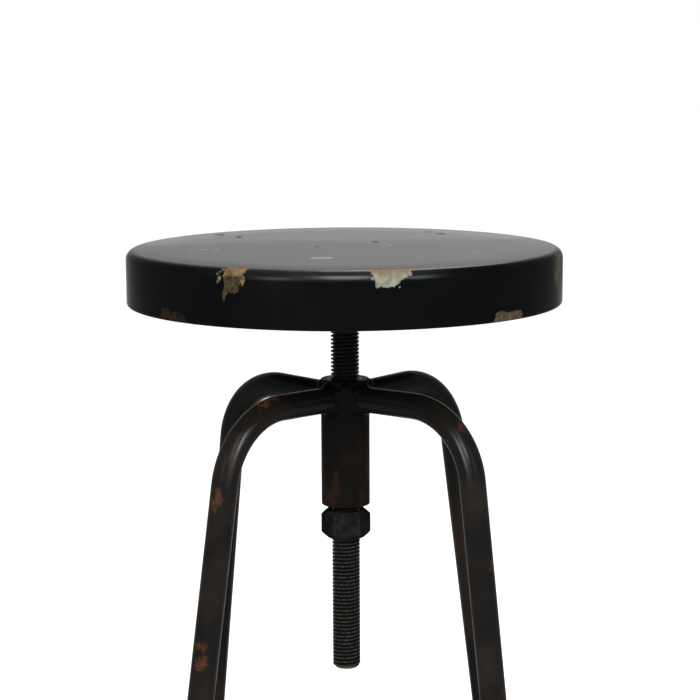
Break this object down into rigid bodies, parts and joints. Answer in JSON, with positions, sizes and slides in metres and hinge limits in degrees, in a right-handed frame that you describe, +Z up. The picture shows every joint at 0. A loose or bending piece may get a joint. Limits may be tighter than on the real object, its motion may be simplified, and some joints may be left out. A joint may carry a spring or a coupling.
{
  "type": "bar stool",
  "caption": "Round steel seat on a threaded spindle that screws up and down in a hub with splayed bent-tube legs, a hexagon lock nut and a footrest hoop.",
  "frame": {"origin": "on the floor, on the spindle's axis, at the middle of the four feet", "axes": "+Z up along the spindle, -Y the front, legs on the diagonals between X and Y"},
  "size_m": [0.3426, 0.3426, 0.7],
  "materials": {
    "seat_enamel": "satin black enamel, chipped to a cream undercoat",
    "frame_lacquer": "black-brown lacquer worn through to rust",
    "weld_metal": "lacquered weld bead",
    "black_steel": "black oxide",
    "oiled_steel": "dark oiled steel",
    "nylon": "natural nylon",
    "rubber": "matt black rubber"
  },
  "bodies": {
    "frame": {"hub_tube": "frame_lacquer", "thread_bush_upper": "oiled_steel", "thread_bush_lower": "oiled_steel", "hub_weld": "weld_metal", "footrest_ring": "frame_lacquer", "leg_front_left": "frame_lacquer", "footrest_weld_front_left": "weld_metal", "foot_front_left": "rubber", "leg_front_right": "frame_lacquer", "footrest_weld_front_right": "weld_metal", "foot_front_right": "rubber", "leg_rear_left": "frame_lacquer", "footrest_weld_rear_left": "weld_metal", "foot_rear_left": "rubber", "leg_rear_right": "frame_lacquer", "footrest_weld_rear_right": "weld_metal", "foot_rear_right": "rubber"},
    "turning_ring": {"guide_ring_upper": "nylon"},
    "seat": {"seat_pan": "seat_enamel", "seat_stiffener": "seat_enamel", "stiffener_studs": "black_steel", "spindle_flange": "black_steel", "flange_washers": "black_steel", "flange_nuts": "black_steel", "spindle": "oiled_steel", "spindle_weld": "weld_metal"},
    "nut_ring": {"guide_ring_lower": "nylon"},
    "lock_nut": {"lock_nut": "black_steel"}
  },
  "joints": [
    {"name": "seat_turn", "type": "hinge", "parent": "frame", "child": "turning_ring", "pos_m": [0, 0, 0.55], "axis": [0, 0, 1], "range_deg": [-9730, 10810]},
    {"name": "seat_lift", "type": "slide", "parent": "turning_ring", "child": "seat", "axis": [0, 0, 1], "range_m": [-0.081, 0.09]},
    {"name": "nut_turn", "type": "hinge", "parent": "frame", "child": "nut_ring", "pos_m": [0, 0, 0.48], "axis": [0, 0, 1], "range_deg": [-2890, 460]},
    {"name": "nut_travel", "type": "slide", "parent": "nut_ring", "child": "lock_nut", "axis": [0, 0, 1], "range_m": [-0.024, 0.00375]}
  ],
  "couplings": [
    {"joint": "seat_turn", "follows": "seat_lift", "rad_per_m": 2094.4},
    {"joint": "nut_turn", "follows": "nut_travel", "rad_per_m": 2094.4}
  ]
}
